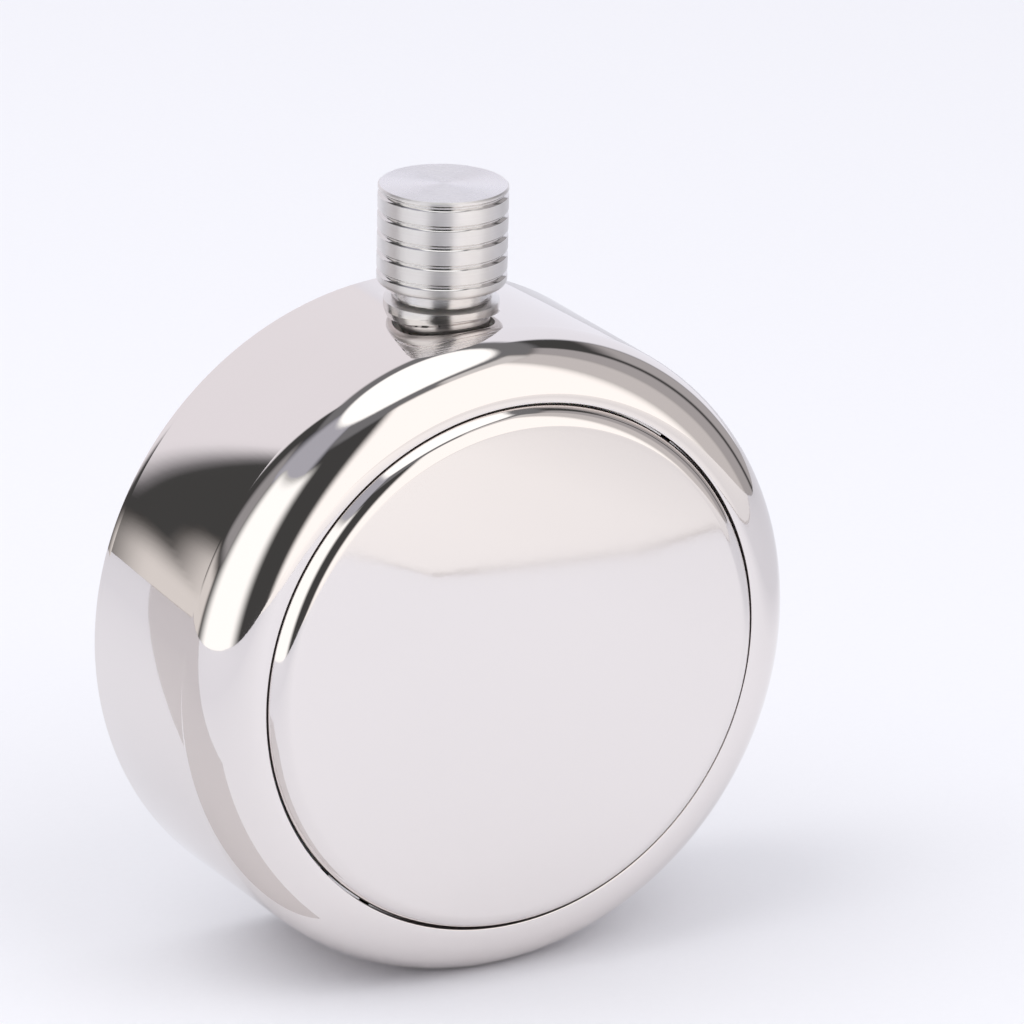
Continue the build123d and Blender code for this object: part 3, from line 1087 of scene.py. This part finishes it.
tent_mesh = bmesh.new()
tent_arc = []
for step in range(tent_rows):
    rise = radians(tent_foot + step)
    tent_arc.append(tent_mesh.verts.new((tent_radius * cos(rise), 0, tent_radius * sin(rise))))
for first, second in zip(tent_arc, tent_arc[1:]):
    tent_mesh.edges.new((first, second))
bmesh.ops.spin(
    tent_mesh, geom=tent_mesh.verts[:] + tent_mesh.edges[:], cent=(0, 0, 0), axis=(0, 0, 1),
    angle=2 * pi, steps=360, use_merge=True,
)
bmesh.ops.translate(tent_mesh, vec=(0, 0, axis_height), verts=tent_mesh.verts[:])
tent_glow = tent_mesh.verts.layers.float_color.new("glow")
for vert in tent_mesh.verts:
    across, deep, rise = vert.co.x, vert.co.y, vert.co.z - axis_height
    turn = degrees(atan2(across, -deep))
    height = degrees(atan2(rise, hypot(across, deep)))
    vert[tent_glow] = (*card_light(turn, height), 1)

tent_paint = bpy.data.materials.new("tent_light")
tent_paint.use_nodes = True
tent_nodes = tent_paint.node_tree.nodes
tent_nodes.clear()
tent_out = tent_nodes.new("ShaderNodeOutputMaterial")
tent_emit = tent_nodes.new("ShaderNodeEmission")
tent_read = tent_nodes.new("ShaderNodeAttribute")
tent_read.attribute_name = "glow"
tent_paint.node_tree.links.new(tent_read.outputs["Color"], tent_emit.inputs["Color"])
tent_paint.node_tree.links.new(tent_emit.outputs[0], tent_out.inputs["Surface"])
tent = finish_piece(tent_mesh, "studio_tent", tent_paint)
seen_in_steel_only(tent)


# ---------------------------------------------------------------------------
# Lights: a broad soft lamp high on the left, a weaker one on the right and even
# room light. The steel doesn't show the lamps, only the tent.
# ---------------------------------------------------------------------------
def soft_lamp(name, place, size, power):
    """A round soft lamp aimed at the flask's foot."""
    lamp = bpy.data.lights.new(name, "AREA")
    lamp.shape = "DISK"
    lamp.size = size
    lamp.energy = power
    holder = bpy.data.objects.new(name, lamp)
    holder.location = place
    holder.rotation_euler = (-Vector(place)).to_track_quat("-Z", "Y").to_euler()
    holder.visible_glossy = False
    bpy.context.scene.collection.objects.link(holder)


soft_lamp("soft_lamp_left", (-0.8, 0.0, 1.3), 1.3, 7)
soft_lamp("soft_lamp_right", (0.45, -0.95, 1.3), 1.2, 4.5)

room = bpy.data.worlds.new("room_light")
room.use_nodes = True
room_nodes = room.node_tree.nodes
room_back = room_nodes["Background"]
room_back.inputs["Color"].default_value = (0.90, 0.90, 0.94, 1)
room_back.inputs["Strength"].default_value = 0.92
bpy.context.scene.world = room


# ---------------------------------------------------------------------------
# Camera: a long lens from the front left, a little above the flask.
# ---------------------------------------------------------------------------
camera_turn = 0.5195
camera_rise = 0.3458
camera_roll = 0.0232
camera_distance = 1.2557
camera_lens = 310.5
film_width = 36
aim_right = 0.01062
aim_up = 0.01527

forward = Vector((
    sin(camera_turn) * cos(camera_rise), cos(camera_turn) * cos(camera_rise), -sin(camera_rise)
))
level_right = Vector((cos(camera_turn), -sin(camera_turn), 0))
level_up = level_right.cross(forward)
right = level_right * cos(camera_roll) + level_up * sin(camera_roll)
up = level_up * cos(camera_roll) - level_right * sin(camera_roll)
aim = Vector((0, 0, axis_height * millimetre)) + level_right * aim_right + level_up * aim_up
camera_data = bpy.data.cameras.new("camera")
camera_data.lens = camera_lens
camera_data.sensor_width = film_width
camera = bpy.data.objects.new("camera", camera_data)
turned = Matrix((right, up, -forward)).transposed().to_4x4()
camera.matrix_world = Matrix.Translation(aim - forward * camera_distance) @ turned
bpy.context.scene.collection.objects.link(camera)
bpy.context.scene.camera = camera
bpy.context.scene.view_settings.view_transform = "Standard"
